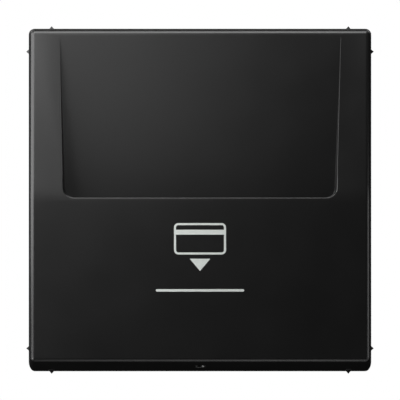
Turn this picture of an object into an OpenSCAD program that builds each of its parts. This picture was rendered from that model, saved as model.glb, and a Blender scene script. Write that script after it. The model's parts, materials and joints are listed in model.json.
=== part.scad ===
// Hotel key card switch: a flush wall switch that a key card closes while it stands in the pocket.
// X runs to the viewer's right, Y from the viewer into the wall, and Z up.
// The origin lies on the wall plane, midway between the two box screws. Sizes are in millimetres.

/* [Cover] */
// Width of the cover beside the card slot, each side
arm_w = 7.45; // [7:0.05:9]
// Height of the cover at its back edge
cover_h = 70; // [69:0.5:76]
// Thickness of the moulded walls
wall = 1.7; // [1.4:0.1:2]
// How far the sides and the top lean in from back to front
side_lean = 0.3; // [0.1:0.1:0.8]
// How far the underside leans in from back to front
bottom_lean = 1.9; // [0.6:0.1:2.4]
// Rounding of the front edges
edge_r = 1; // [0.6:0.1:1.4]
// Corner radius of the back edge
corner_r = 1.2; // [0.8:0.1:2]
// Height of the longer curve at the two lower corners
lower_corner_rise = 2; // [1.2:0.1:3]
// Bend radius where the sloping arms meet the lower panel
crease_r = 22; // [10:1:30]
// Gap between the cover's back edge and the support ring
skirt_gap = 0.3; // [0.1:0.1:0.6]
// Width of the pointed centring nibs
nib_w = 1.15; // [0.6:0.05:1.4]
// Height of the pointed centring nibs
nib_h = 0.5; // [0.2:0.05:0.8]
// Length of the nibs from the back edge
nib_len = 3; // [1:0.5:4]
// Distance of the nibs from the cover's outer corners
nib_inset = 4.7; // [3:0.1:10]
// Width of the release notch in the underside
notch_w = 2.5; // [1.5:0.1:4]
// Length of the release notch, front to back
notch_len = 3.8; // [2:0.1:5]

/* [Card slot] */
// Width of a key card
card_w = 54; // [52:0.1:54.4]
// Play beside the card, each side
card_side_gap = 0.55; // [0.3:0.05:0.8]
// Depth of the slot between the floor and the lower panel
slot_gap = 4.3; // [4:0.1:5]
// Height of the lower panel's top edge above the centre
slot_z = 0.5; // [-2:0.1:3]
// How much wider the recess is at the top edge, each side
recess_flare = 1.2; // [0.4:0.1:1.8]
// How far the side walls of the recess lean out from floor to panel front
recess_draft = 0.3; // [0.05:0.05:0.5]
// Corner radius at the foot of the recess
recess_corner_r = 1.75; // [1:0.05:3]
// How far the floor reaches down behind the panel's top edge
floor_lap = 1.7; // [0.8:0.1:3]
// Height of the card stop above the cover's bottom edge
stop_rise = 7.7; // [7.4:0.1:10]

/* [Card guide] */
// Thickness of the guide plate
guide_t = 1.5; // [1.2:0.1:2]
// Step from the floor back to the guide plate, so that a card slides in freely
guide_step = 0.2; // [0.1:0.05:0.4]
// Width of the rails beside the card
rail_w = 1.2; // [0.8:0.1:1.4]
// Height of the rail under the card
stop_t = 1.4; // [1:0.1:1.6]
// Height of the tongues that lap behind the floor
tongue_h = 6; // [4:0.5:10]
// Shank radius of the guide screws
guide_screw_r = 0.8; // [0.6:0.05:0.9]
// Height of the guide screw heads
guide_head_h = 1.2; // [0.8:0.1:1.6]
// Thread depth of the guide screws in their bosses
guide_screw_bite = 3.4; // [2.5:0.1:4]

/* [Card lever] */
// Angle the lever swings when a card is in
lever_swing = 5; // [4:0.1:6]
// Height of the pivot above the card stop
pivot_rise = 2.3; // [2:0.1:4]
// Radius of the pivot pin
pin_r = 1; // [0.75:0.05:1.2]
// Radius of the lever's hub
hub_r = 2.4; // [2:0.1:2.6]
// Width of the lever's arm
lever_w = 12; // [9:0.5:14]
// Thickness of the lever's arm
lever_t = 2; // [1.5:0.1:2.5]
// Width of the nose that the card pushes
nose_w = 8; // [5:0.5:10]
// Height of the nose tip above the pivot
nose_arm = 8; // [7:0.1:9]
// Length of the nose's ramp along the card
nose_ramp = 8; // [6:0.5:9]
// Radius of the pad that presses the plunger
pad_r = 1.5; // [1.2:0.1:2]
// How far the pad stands behind the arm
pad_proud = 1.35; // [1:0.05:1.8]

/* [Switch insert] */
// Sheet thickness of the support ring
ring_t = 1; // [0.8:0.1:1.2]
// Spacing of the two box screws
screw_spacing = 60; // [58:0.5:60.5]
// Width of the box screw slots
screw_slot_w = 3.6; // [3.2:0.1:4.2]
// Length of the box screw slots
screw_slot_len = 6; // [5:0.1:6.5]
// Width of the insulating base
base_w = 44; // [43:0.5:46]
// Height of the base's deep body
body_h = 30; // [28:0.5:32]
// Height of the base's riveted ears, above and below the deep body
ear_h = 7.5; // [6.5:0.1:8]
// Thickness of the base's riveted ears
ear_t = 5; // [3:0.5:7]
// Depth of the base behind the wall plane
base_depth = 21; // [19:0.5:26]
// Thickness of the base's back wall
back_wall = 2; // [1.6:0.1:2.6]
// Radius of the rivets that hold the base to the ring
rivet_r = 1.4; // [1:0.1:1.6]
// Radius of the wire entries
wire_r = 1.3; // [1:0.05:1.4]

/* [Contact mechanism] */
// Thickness of the plunger's head
head_t = 1.3; // [1:0.1:2]
// Radius of the plunger's stem
stem_r = 3.5; // [3:0.1:4]
// Travel of the contact bridge until the contacts close
contact_travel = 1.65; // [1.2:0.05:1.9]
// Thickness of the contact strips
strip_t = 0.8; // [0.6:0.05:1]
// Radius of the silver contacts
tip_r = 1.5; // [1:0.1:1.9]
// Wire radius of the return spring
return_wire_r = 0.3; // [0.2:0.05:0.35]
// Wire radius of the contact spring
contact_wire_r = 0.2; // [0.15:0.05:0.25]
// Sheet thickness of the terminal clamp springs
clamp_t = 0.4; // [0.3:0.05:0.5]
// Travel of the release sliders
release_travel = 1.4; // [1:0.1:1.6]

/* [Hidden] */
$fn = 48;
ball_fn = 32;
arc_steps = 6;
sides = [-1, 1];
overcut = 1;
sink = 0.3;
sheet = 0.02;

// Clearances
touch_gap = 0.05;
pin_gap = 0.05;
press_gap = 0.02;
slide_gap = 0.2;
lever_gap = 0.6;
hub_gap = 0.3;
head_clear = 0.8;

// Heights of the card's path and of the lever
slot_half = card_w/2 + card_side_gap;
cover_w = 2*(slot_half + arm_w);
lap_z = slot_z - floor_lap;
stop_z = -cover_h/2 + stop_rise;
guide_bottom = stop_z - stop_t;
pivot_z = stop_z + pivot_rise;
pad_reach = -pivot_z;
plunger_travel = pad_reach*lever_swing*PI/180;

// Stations along Y, worked out from the ring forward to the cover's face
lid_front = -ring_t;
head_back = lid_front - head_clear - plunger_travel;
head_front = head_back - head_t;
pad_back = head_front - touch_gap;
arm_back = pad_back - pad_proud;
arm_front = arm_back - lever_t;
guide_back = arm_front - lever_gap;
guide_front = guide_back - guide_t;
floor_front = guide_front - guide_step;
floor_back = floor_front + wall;
panel_back = floor_front - slot_gap;
panel_front = panel_back - wall;
skirt_back = -ring_t - skirt_gap;
skirt_land = 0.5;
pivot_y = guide_back + hub_gap + hub_r;

// Inner faces of the cover
inner_x = cover_w/2 - side_lean - wall;
inner_top = cover_h/2 - side_lean - wall;
bottom_slope = bottom_lean/(skirt_back - skirt_land - panel_front - edge_r);
function inner_bottom(y) = wall - cover_h/2 + bottom_slope*(skirt_back - skirt_land - y);

// The sloping arms: tangent to the top edge's rounding and to the bend above the lower panel
crease_drop = 1.2;
crease_z = slot_z - crease_drop;
top_step = 0.08;
top_ball = [floor_front + top_step + edge_r, cover_h/2 - side_lean - edge_r];
crease_centre = [panel_front + crease_r, crease_z];
to_top = top_ball - crease_centre;
arm_tilt = atan2(to_top[1], -to_top[0]) - acos((crease_r - edge_r)/norm(to_top));
crease_steps = 6;
function arm_inner_y(z) = top_ball[0]
    + (wall - edge_r + sin(arm_tilt)*(z - top_ball[1]))/cos(arm_tilt);
function arm_inner_z(y) = top_ball[1] + (edge_r - wall + cos(arm_tilt)*(y - top_ball[0]))/sin(arm_tilt);

// Latches at top and bottom
latch_inset = 4.1;
latch_z = cover_h/2 - latch_inset;
latch_w = 6.4;
latch_hook = 0.7;
latch_back = -2.4;
lug_side = 0.8;
lug_w = latch_w + 2*lug_side;
lug_front = -6;
hook_side = 0.5;
lug_window_w = latch_w - 2*hook_side;
lug_window = [-4.8, -2.6];
snap_t = 1.2;
snap_gap = 0.2;
snap_outer = latch_z - ring_t/2 - snap_gap;

// Guide screws in their bosses beside the rails
rail_x = slot_half + touch_gap;
rail_out = rail_x + rail_w;
boss_r = (inner_x - rail_out)/2 - snap_gap;
boss_x = inner_x - boss_r - snap_gap;
upper_boss_drop = 6.5;
lower_boss_rise = 3.3;
boss_zs = [slot_z - upper_boss_drop, stop_z + lower_boss_rise];
ear_half = 2.3;
head_inset = 0.1;
guide_head_r = boss_r - head_inset;
head_taper = 0.8;
cross_reach = 0.6;
cross_half = guide_screw_r/3;

// Tongues that lap behind the floor
tongue_from_lever = 5;
tongue_inset = 1.5;
tongue_root = 2;
tongue_x = [lever_w/2 + tongue_from_lever, slot_half - tongue_inset];
tongue_front = floor_back + touch_gap;

// Lever details
lug_t = 2;
hub_side = 1;
hub_half = lever_w/2 + hub_side;
lug_half = hub_half + slide_gap;
nose_z = pivot_z + nose_arm;
nose_gap = 0.1;
nose_tip = panel_back + nose_gap;
nose_flat = 0.5;
nose_root = nose_z + nose_ramp;
window_margin = 1.3;
lever_top = 3;
pad_inset = 1;
pad_root = 1;
relief_gap = 2;
head_side = 0.5;
head_rise = 1;
head_size = [lever_w + 2*head_side, 4*pad_r + 2*head_rise];
head_corner = 1.5;

// Switch insert
slot_land = 1.5;
lug_land = 1.6;
ring_w = screw_spacing + screw_slot_len + 2*slot_land;
ring_h = 2*latch_z + ring_t + 2*lug_land;
ring_cut = 8;
flange_cut = 7;
body_cut = 4;
base_h = body_h + 2*ear_h;
cavity_walls = [3.3, 6];
cavity = [base_w, body_h] - 2*cavity_walls;
cavity_r = 1;
lid_laps = [1.3, 3.5];
lid_flange = cavity + 2*lid_laps;
lid_flange_t = 1.2;
lid_play = 0.2;
lid_lands = [4, 2.5];
opening = lid_flange - 2*lid_lands;
opening_r = 2;
rivet_lap = 0.8;
rivet_head_r = rivet_r + rivet_lap;
rivet_head_h = 0.8;
rivet_inset = 6.5;
rivet_at = [base_w/2 - rivet_inset, body_h/2 + rivet_head_r + hub_gap];
cavity_back = base_depth - back_wall;

// Contact mechanism, from the lid to the back of the cavity
lid_boss_t = 0.4;
lid_back = lid_flange_t + lid_boss_t;
lid_boss_r = stem_r + 2.7;
stop_front = lid_back + 2*touch_gap;
collar_t = 1.3;
stop_back = stop_front + collar_t;
collar_r = stem_r + 2;
cage_depth = 6;
cap_front = stop_back + cage_depth;
cap_t = 1.4;
cap_back = cap_front + cap_t;
bridge_back = cap_front - touch_gap;
bridge_front = bridge_back - strip_t;
spring_turns = 5;
tip_h = 0.9;
tip_gap = 0.03;
strip_front = bridge_back + 2*tip_h + contact_travel + tip_gap;
strip_back = strip_front + strip_t;
seat_h = 1.6;
spring_seat = cavity_back - seat_h;
spigot_r = 1.9;
spigot_gap = 1.6;
spigot_h = (spring_seat - cap_back - plunger_travel - spigot_gap)/2;
seat_r = spigot_r + 1.7;
cage_half = 3;
cheek = [2.3, 4.3];

// Terminals, clamp springs and release sliders
clamp_space = 5.7;
leg_x = cavity[0]/2 - clamp_space;
tip_from_leg = 5.2;
tip_x = leg_x - tip_from_leg;
bridge_end = 1.9;
bridge_half = [tip_x + bridge_end, cheek[0] - slide_gap];
bridge_corner = 1;
strip_start = spigot_r + 2.7;
strip_side = 0.7;
strip_half = bridge_half[1] + strip_side;
leg_end_gap = 0.4;
ledge_start = strip_start + 0.6;
ledge_half = strip_half + hub_gap;
wire_lap = 0.1;
wire_x = leg_x + strip_t + wire_r - wire_lap;
slider_half = [1, 1.2];
slider_x = leg_x + strip_t + 2;
slider_z = 4.7;
slider_collar = 0.4;
slider_collar_t = 1.2;
slider_back = cavity_back - hub_gap;
slider_front = slider_back - slider_collar_t;
slider_proud = 0.4;
clamp_out = cavity[0]/2 - hub_gap;
clamp_bend_r = 1.4;
clamp_bend_y = strip_front + clamp_bend_r;
clamp_lean = 24;
clamp_low = -2.6;
clamp_reach = 1.1;
clamp_leg = (slider_front - clamp_reach - clamp_bend_y - clamp_t*sin(clamp_lean))/cos(clamp_lean);

// Shapes drawn in a plane and pushed along one axis
module along_x(x0, x1) translate([x0, 0, 0]) rotate([90, 0, 90]) linear_extrude(x1 - x0) children();
module along_y(y0, y1) translate([0, y1, 0]) rotate([90, 0, 0]) linear_extrude(y1 - y0) children();
module along_z(z0, z1) translate([0, 0, z0]) linear_extrude(z1 - z0) children();
module rod_x(r, x0, x1) translate([x0, 0, 0]) rotate([0, 90, 0]) cylinder(r = r, h = x1 - x0);
module rod_y(r, y0, y1) translate([0, y0, 0]) rotate([-90, 0, 0]) cylinder(r = r, h = y1 - y0);
module block(low, high) translate(low) cube(high - low);
module both_x() for (m = [0, 1]) mirror([m, 0, 0]) children();
module both_z() for (m = [0, 1]) mirror([0, 0, m]) children();

module rounded_rect(size, r) {
    square([size[0] - 2*r, size[1]], center = true);
    square([size[0], size[1] - 2*r], center = true);
    for (sx = sides, sy = sides)
        translate([sx*(size[0]/2 - r), sy*(size[1]/2 - r)]) circle(r);
}

module cut_corner_rect(size, cut) {
    a = size/2;
    b = a - [cut, cut];
    polygon([[a[0], b[1]], [b[0], a[1]], [-b[0], a[1]], [-a[0], b[1]],
        [-a[0], -b[1]], [-b[0], -a[1]], [b[0], -a[1]], [a[0], -b[1]]]);
}

module slot_2d(length, width) {
    square([length - width, width], center = true);
    for (s = sides) translate([s*(length - width)/2, 0]) circle(width/2);
}

// A round wire wound into an open helix along Y, with its ends squared to the seats
function helix_point(r, y0, y1, turns, i, steps) =
    [r*cos(360*turns*i/steps), y0 + (y1 - y0)*i/steps, r*sin(360*turns*i/steps)];
function helix_gap(y0, y1, turns, wire_r) = (y1 - y0)/turns - 2*wire_r;

module helix_spring(r, wire_r, y0, y1, turns) {
    ring_sides = 6;
    steps = 12*turns;
    low = y0 + wire_r;
    high = y1 - wire_r;
    pitch_angle = atan2((high - low)/turns, 2*PI*r);
    rings = [for (i = [0:steps]) let (a = 360*turns*i/steps, c = helix_point(r, low, high, turns, i, steps))
        for (k = [0:ring_sides - 1]) let (b = 360*k/ring_sides, u = wire_r*cos(b), v = wire_r*sin(b))
            c + [u*cos(a) + v*sin(pitch_angle)*sin(a), v*cos(pitch_angle),
                u*sin(a) - v*sin(pitch_angle)*cos(a)]];
    function at(i, k) = i*ring_sides + k % ring_sides;
    walls = [for (i = [0:steps - 1], k = [0:ring_sides - 1])
        each [[at(i, k), at(i, k + 1), at(i + 1, k)], [at(i, k + 1), at(i + 1, k + 1), at(i + 1, k)]]];
    caps = [for (k = [1:ring_sides - 2])
        each [[at(0, 0), at(0, k + 1), at(0, k)], [at(steps, 0), at(steps, k), at(steps, k + 1)]]];
    echo(least_spring_gap = helix_gap(low, high, turns, wire_r));
    polyhedron(rings, concat(walls, caps));
}

// Back edge of the cover: round upper corners, longer curves at the lower ones
function corner_arc(cx, cz, rx, rz, start) =
    [for (i = [0:arc_steps]) let (a = start + 90*i/arc_steps) [cx + rx*cos(a), cz + rz*sin(a)]];
module cover_outline() {
    x = cover_w/2 - corner_r;
    top = cover_h/2 - corner_r;
    foot = cover_h/2 - lower_corner_rise;
    polygon(concat(corner_arc(x, top, corner_r, corner_r, 0), corner_arc(-x, top, corner_r, corner_r, 90),
        corner_arc(-x, -foot, corner_r, lower_corner_rise, 180),
        corner_arc(x, -foot, corner_r, lower_corner_rise, 270)));
}

// A ball with its poles along X, turned so that one of its points faces along the surface it rounds
module edge_ball(tilt) rotate([-tilt, 0, 0]) rotate([0, 90, 0]) rotate_extrude($fn = ball_fn)
    polygon([for (i = [0:ball_fn/2]) let (a = 360*i/ball_fn) edge_r*[sin(a), -cos(a)]]);

// Outer form: one convex body from the back edge to the rounded front edges
module cover_body() hull() {
    along_y(skirt_back - skirt_land, skirt_back) cover_outline();
    for (s = sides) translate([s*(cover_w/2 - side_lean - edge_r), 0, 0]) {
        translate([0, top_ball[0], top_ball[1]]) edge_ball(arm_tilt);
        for (i = [0:crease_steps]) let (a = arm_tilt*i/crease_steps, r = crease_r - edge_r)
            translate([0, crease_centre[0] - r*cos(a), crease_centre[1] + r*sin(a)]) edge_ball(a);
        translate([0, panel_front + edge_r, bottom_lean + edge_r - cover_h/2]) edge_ball(0);
    }
}

module cover_hollow() along_x(-inner_x, inner_x)
    polygon([[panel_back, lap_z], [panel_back, inner_bottom(panel_back)], [overcut, inner_bottom(overcut)],
        [overcut, inner_top], [floor_back, inner_top], [floor_back, lap_z]]);

module arm_hollows() {
    x0 = slot_half + recess_flare + wall;
    for (x = [x0, -inner_x]) along_x(x, x + inner_x - x0)
        polygon([[floor_back + sheet, inner_top], [arm_inner_y(inner_top), inner_top],
            [panel_back, arm_inner_z(panel_back)], [panel_back, lap_z - sheet],
            [floor_back + sheet, lap_z - sheet]]);
}

// The U-shaped recess, wider at the top and with leaning walls
module recess() {
    depth = slot_gap + wall;
    hull() for (level = [[floor_front, 0], [panel_front - overcut, recess_draft*(1 + overcut/depth)]])
        along_y(level[0] - sheet, level[0]) {
            for (s = sides)
                translate([s*(slot_half - recess_corner_r), slot_z + recess_corner_r + level[1]])
                    circle(recess_corner_r + level[1], $fn = ball_fn);
            translate([0, cover_h/2 + overcut])
                square([2*(slot_half + recess_flare + level[1]), overcut], center = true);
        }
}

module card_mouth()
    block([-slot_half, panel_back, lap_z - sheet], [slot_half, floor_front, slot_z + sheet]);

module release_notch() translate([0, (panel_front + skirt_back)/2, 0])
    along_z(-cover_h/2 - overcut, inner_bottom(panel_front) + overcut) rotate(90) slot_2d(notch_len, notch_w);

module nibs() {
    reach = [cover_w/2, cover_h/2];
    for (q = [0:3]) let (edge = reach[(q + 1) % 2], across = reach[q % 2] - nib_inset)
        rotate([0, 90*q, 0]) for (s = sides) translate([s*across, 0, 0])
            along_y(skirt_back - nib_len, skirt_back)
                polygon([[-nib_w/2, edge - wall/2], [-nib_w/2, edge - nib_h/3], [0, edge + nib_h],
                    [nib_w/2, edge - nib_h/3], [nib_w/2, edge - wall/2]]);
}

// A snap arm with its hook outwards, and the wall it grows from
module snap_arm(root) {
    block([-latch_w/2, root, snap_outer - snap_t], [latch_w/2, latch_back, snap_outer]);
    hook_w = lug_window_w - 2*slide_gap;
    hook_front = lug_window[0] + slide_gap;
    along_x(-hook_w/2, hook_w/2)
        polygon([[hook_front, snap_outer - sheet], [hook_front, snap_outer + latch_hook],
            [hook_front + slide_gap, snap_outer + latch_hook],
            [lug_window[1] - slide_gap, snap_outer - sheet]]);
}

module at_bosses() for (s = sides, z = boss_zs) translate([s*boss_x, 0, z]) children();

module front_cover() color("#1b1b1c") difference() {
    union() {
        difference() {
            cover_body();
            cover_hollow();
            arm_hollows();
            recess();
            card_mouth();
            release_notch();
        }
        at_bosses() rod_y(boss_r, panel_back - sink, guide_front);
        snap_arm(floor_back - sink);
        mirror([0, 0, 1]) snap_arm(panel_back - sink);
        nibs();
    }
    at_bosses() rod_y(guide_screw_r, guide_front - guide_screw_bite - slide_gap, guide_front + overcut);
}

// Guide plate behind the panel: rails, card stop, screw ears, lapping tongues and the lever's ears
module card_guide() color("#26272a") {
    plate_top = lap_z - slide_gap;
    rail_front = panel_back + 2*touch_gap;
    difference() {
        union() {
            block([-rail_out, guide_front, guide_bottom], [rail_out, guide_back, plate_top]);
            block([-rail_out, rail_front, guide_bottom], [rail_out, guide_back, stop_z]);
            both_x() {
                block([rail_x, rail_front, guide_bottom], [rail_out, guide_back, plate_top]);
                for (z = boss_zs)
                    block([rail_x, guide_front, z - ear_half], [boss_x + boss_r, guide_back, z + ear_half]);
                block([tongue_x[0], guide_front, plate_top - tongue_root],
                    [tongue_x[1], tongue_front + guide_t, plate_top]);
                block([tongue_x[0], tongue_front, plate_top - tongue_root],
                    [tongue_x[1], tongue_front + guide_t, plate_top + tongue_h]);
                along_x(lug_half, lug_half + lug_t) {
                    translate([pivot_y, pivot_z]) circle(hub_r);
                    translate([guide_back - sink, pivot_z - hub_r])
                        square([pivot_y - guide_back + sink, 2*hub_r]);
                }
            }
        }
        block([-nose_w/2 - hub_gap*2, guide_front - overcut, pivot_z + hub_r + hub_gap],
            [nose_w/2 + hub_gap*2, guide_back + overcut, nose_root + window_margin]);
        at_bosses() rod_y(guide_screw_r + hub_gap, guide_front - overcut, guide_back + overcut);
        translate([0, pivot_y, pivot_z])
            rod_x(pin_r + press_gap, -lug_half - lug_t - overcut, lug_half + lug_t + overcut);
    }
}

module guide_screws() color("#b9bcc0") at_bosses() difference() {
    union() {
        rod_y(guide_screw_r - press_gap, guide_front - guide_screw_bite, guide_back + sink);
        translate([0, guide_back, 0]) rotate([-90, 0, 0])
            cylinder(r1 = guide_head_r, r2 = guide_head_r*head_taper, h = guide_head_h);
    }
    for (a = [0, 90]) rotate([0, a, 0])
        block([-guide_head_r*cross_reach, guide_back + guide_head_h/2, -cross_half],
            [guide_head_r*cross_reach, guide_back + guide_head_h + overcut, cross_half]);
}

// Bell crank: the card pushes the nose back, and the pad at the upper end presses the plunger
module card_lever() color("#d9d7cf") difference() {
    union() {
        translate([0, pivot_y, pivot_z]) rod_x(hub_r, -hub_half, hub_half);
        along_x(-lever_w/2, lever_w/2)
            polygon([[arm_front, pivot_z], [arm_front, lever_top], [arm_back, lever_top],
                [arm_back, pivot_z]]);
        along_x(-lever_w/2 + pad_inset, lever_w/2 - pad_inset) {
            root = pad_r + pad_root;
            translate([pad_back - pad_r, 0]) circle(pad_r);
            polygon([[arm_front + sink, -root], [arm_back, -root], [pad_back - pad_r, -pad_r],
                [pad_back - pad_r, pad_r], [arm_back, root], [arm_front + sink, root]]);
        }
        along_x(-nose_w/2, nose_w/2)
            polygon([[arm_front + sink, nose_root], [guide_front + touch_gap, nose_root], [nose_tip, nose_z],
                [nose_tip, nose_z - nose_flat], [arm_front + sink, pivot_z + hub_r + 2*hub_gap]]);
    }
    translate([0, pivot_y, pivot_z]) rod_x(pin_r + pin_gap, -hub_half - overcut, hub_half + overcut);
    both_x()
        block([nose_w/2, arm_front + lever_t/2, nose_z],
            [lever_w/2 - pad_inset, arm_back + overcut, -pad_r - relief_gap]);
}

module lever_pin() color("#c3c6ca") translate([0, pivot_y, pivot_z])
    rod_x(pin_r, -lug_half - lug_t - sink, lug_half + lug_t + sink);

// Plunger: a broad head, a round stem in the lid's bore, a stop collar and a cage for the contact bridge
module plunger() color("#e4e2da") {
    along_y(head_front, head_back) rounded_rect(head_size, head_corner);
    rod_y(stem_r, head_back - sink, stop_back);
    rod_y(collar_r, stop_front, stop_back);
    both_z()
        block([-cage_half, stop_back - sink, cheek[0]], [cage_half, cap_back, cheek[1]]);
    block([-cage_half, cap_front, -cheek[1]], [cage_half, cap_back, cheek[1]]);
    rod_y(spigot_r, cap_back - sink, cap_back + spigot_h);
}

module return_spring() color("#a9adb2")
    helix_spring(spigot_r + slide_gap + return_wire_r*2, return_wire_r, cap_back + touch_gap,
        spring_seat - touch_gap, spring_turns);

module contact_bridge() color("#b87941") along_y(bridge_front, bridge_back)
    rounded_rect(2*bridge_half, bridge_corner);

module bridge_contacts() color("#cfd2d4")
    for (s = sides) translate([s*tip_x, 0, 0]) rod_y(tip_r, bridge_back, bridge_back + tip_h);

module contact_spring() color("#a9adb2")
    helix_spring(bridge_half[1] - 2*contact_wire_r - slide_gap, contact_wire_r, stop_back + touch_gap,
        bridge_front - touch_gap, spring_turns);

// Steel support ring on the wall, with the lugs that the cover snaps to
module support_ring() color("#b4b8bc") difference() {
    union() {
        along_y(-ring_t, 0) cut_corner_rect([ring_w, ring_h], ring_cut);
        both_z()
            block([-lug_w/2, lug_front, latch_z - ring_t/2], [lug_w/2, 0, latch_z + ring_t/2]);
    }
    along_y(-ring_t - overcut, overcut) {
        rounded_rect(opening, opening_r);
        for (s = sides) translate([s*screw_spacing/2, 0]) slot_2d(screw_slot_len, screw_slot_w);
    }
    both_z()
        block([-lug_window_w/2, lug_window[0], latch_z - ring_t],
            [lug_window_w/2, lug_window[1], latch_z + ring_t]);
    at_rivets() rod_y(rivet_r + press_gap, -ring_t - overcut, overcut);
}

module at_rivets() for (sx = sides, sz = sides) translate([sx*rivet_at[0], 0, sz*rivet_at[1]]) children();

// Insulating base: a flange with riveted ears, and a deep body that holds the mechanism
module switch_base() color("#c9cac6") {
    difference() {
        union() {
            along_y(0, ear_t) cut_corner_rect([base_w, base_h], flange_cut);
            along_y(0, base_depth) cut_corner_rect([base_w, body_h], body_cut);
        }
        along_y(-overcut, lid_flange_t) rounded_rect(lid_flange + [lid_play, lid_play], cavity_r);
        along_y(-overcut, cavity_back) rounded_rect(cavity, cavity_r);
        at_rivets() rod_y(rivet_r + press_gap, -overcut, ear_t + overcut);
        for (s = sides) {
            translate([s*wire_x, 0, 0]) rod_y(wire_r, cavity_back - overcut, base_depth + overcut);
            translate([s*slider_x, 0, slider_z]) along_y(cavity_back - overcut, base_depth + overcut)
                square(2*slider_half + [slide_gap, slide_gap], center = true);
        }
    }
    rod_y(seat_r, spring_seat, cavity_back + sink);
    rod_y(spigot_r, spring_seat - spigot_h, cavity_back);
    both_x()
        block([ledge_start, strip_back, -ledge_half], [leg_x - hub_gap, cavity_back + sink, ledge_half]);
}

module base_lid() color("#d3d4d0") difference() {
    union() {
        along_y(lid_front, sink) rounded_rect(opening - [lid_play, lid_play], opening_r - lid_play/2);
        along_y(0, lid_flange_t) rounded_rect(lid_flange, cavity_r);
        rod_y(lid_boss_r, lid_flange_t - sink, lid_back);
    }
    rod_y(stem_r + pin_gap, lid_front - overcut, lid_back + overcut);
}

module base_rivets() color("#c0a45c") at_rivets() {
    rod_y(rivet_r, -ring_t - sink, ear_t + sink);
    rod_y(rivet_head_r, -ring_t - rivet_head_h, -ring_t);
    rod_y(rivet_head_r, ear_t, ear_t + rivet_head_h);
}

// A contact strip on its ledge, bent back into the leg that a wire lies against
module terminal() {
    block([strip_start, strip_front, -strip_half], [leg_x + strip_t, strip_back, strip_half]);
    block([leg_x, strip_front, -strip_half], [leg_x + strip_t, cavity_back - leg_end_gap, strip_half]);
}
module line_terminal() color("#c79a4b") mirror([1, 0, 0]) terminal();
module load_terminal() color("#c79a4b") terminal();

module fixed_contacts() color("#cfd2d4")
    for (s = sides) translate([s*tip_x, 0, 0]) rod_y(tip_r, strip_front - tip_h, strip_front);

// A clamp spring: a leg along the wall, a round bend and a leg that leans on the wire
module clamp_spring() translate([clamp_out, clamp_bend_y, 0]) along_z(clamp_low, slider_z + slider_half[1]) {
    translate([-clamp_t, 0]) square([clamp_t, cavity_back - leg_end_gap - clamp_bend_y]);
    translate([-clamp_bend_r, 0]) difference() {
        circle(clamp_bend_r);
        circle(clamp_bend_r - clamp_t);
        translate([-2*clamp_bend_r, 0]) square([4*clamp_bend_r, 2*clamp_bend_r]);
    }
    translate([-2*clamp_bend_r, 0]) rotate(clamp_lean)
        translate([0, -clamp_t]) square([clamp_t, clamp_leg + clamp_t]);
}
module line_clamp_spring() color("#aeb2b6") mirror([1, 0, 0]) clamp_spring();
module load_clamp_spring() color("#aeb2b6") clamp_spring();

// A release slider: pressed from behind, it lifts the clamp spring off the wire
module release_slider() translate([slider_x, 0, slider_z]) {
    collar = slider_half + [slider_collar, slider_collar];
    along_y(slider_front, slider_back) square(2*collar, center = true);
    along_y(slider_front, base_depth + release_travel + slider_proud) square(2*slider_half, center = true);
}
module line_release_slider() color("#c8702c") mirror([1, 0, 0]) release_slider();
module load_release_slider() color("#c8702c") release_slider();

front_cover();
card_guide();
guide_screws();
card_lever();
lever_pin();
plunger();
return_spring();
contact_bridge();
bridge_contacts();
contact_spring();
support_ring();
switch_base();
base_lid();
base_rivets();
line_terminal();
load_terminal();
fixed_contacts();
line_clamp_spring();
load_clamp_spring();
line_release_slider();
load_release_slider();
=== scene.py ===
"""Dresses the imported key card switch: finishes, softened edges, wound springs, print, light and camera."""

import json
import logging
import math
from dataclasses import dataclass
from enum import Enum

import bmesh
import bpy
from mathutils import Matrix, Vector


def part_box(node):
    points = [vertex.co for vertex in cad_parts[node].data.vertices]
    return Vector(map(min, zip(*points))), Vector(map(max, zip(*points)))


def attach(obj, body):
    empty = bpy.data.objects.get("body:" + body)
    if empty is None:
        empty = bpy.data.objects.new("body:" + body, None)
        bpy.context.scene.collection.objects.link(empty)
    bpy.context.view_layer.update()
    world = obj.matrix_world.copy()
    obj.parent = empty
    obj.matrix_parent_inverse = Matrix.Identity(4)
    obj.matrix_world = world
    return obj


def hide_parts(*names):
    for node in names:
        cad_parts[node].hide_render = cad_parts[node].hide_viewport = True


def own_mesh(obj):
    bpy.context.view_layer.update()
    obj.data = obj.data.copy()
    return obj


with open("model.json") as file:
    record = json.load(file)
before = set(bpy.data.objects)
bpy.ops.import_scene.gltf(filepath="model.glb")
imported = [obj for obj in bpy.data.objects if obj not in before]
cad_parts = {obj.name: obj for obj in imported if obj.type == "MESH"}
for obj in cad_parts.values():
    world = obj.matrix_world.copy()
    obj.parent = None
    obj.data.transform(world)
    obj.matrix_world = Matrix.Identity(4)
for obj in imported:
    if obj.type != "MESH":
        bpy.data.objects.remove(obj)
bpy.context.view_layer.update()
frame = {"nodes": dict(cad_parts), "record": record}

LOG = logging.getLogger("key_card_switch")
MM = 0.001
# Points closer together than this are one point.
MERGE = 0.001 * MM
# Faces that meet at a smaller angle than this are one flat face.
FLAT_DEG = 0.2
# Enough facets for a radius below a tenth of a millimetre.
FEW_SEGMENTS = 2

# Points of a turned outline, as shares of its radius and its height.
Profile = tuple[tuple[float, float], ...]


class Body(Enum):
    """The bodies of the CAD model that a piece can ride on."""

    HOUSING = "housing"
    LEVER = "card_lever"
    PLUNGER = "plunger"
    BRIDGE = "contact_bridge"
    LINE_RELEASE = "line_release"
    LOAD_RELEASE = "load_release"


class Side(Enum):
    """The two mirrored halves of the switch, with their sign along X."""

    LINE = -1
    LOAD = 1


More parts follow.
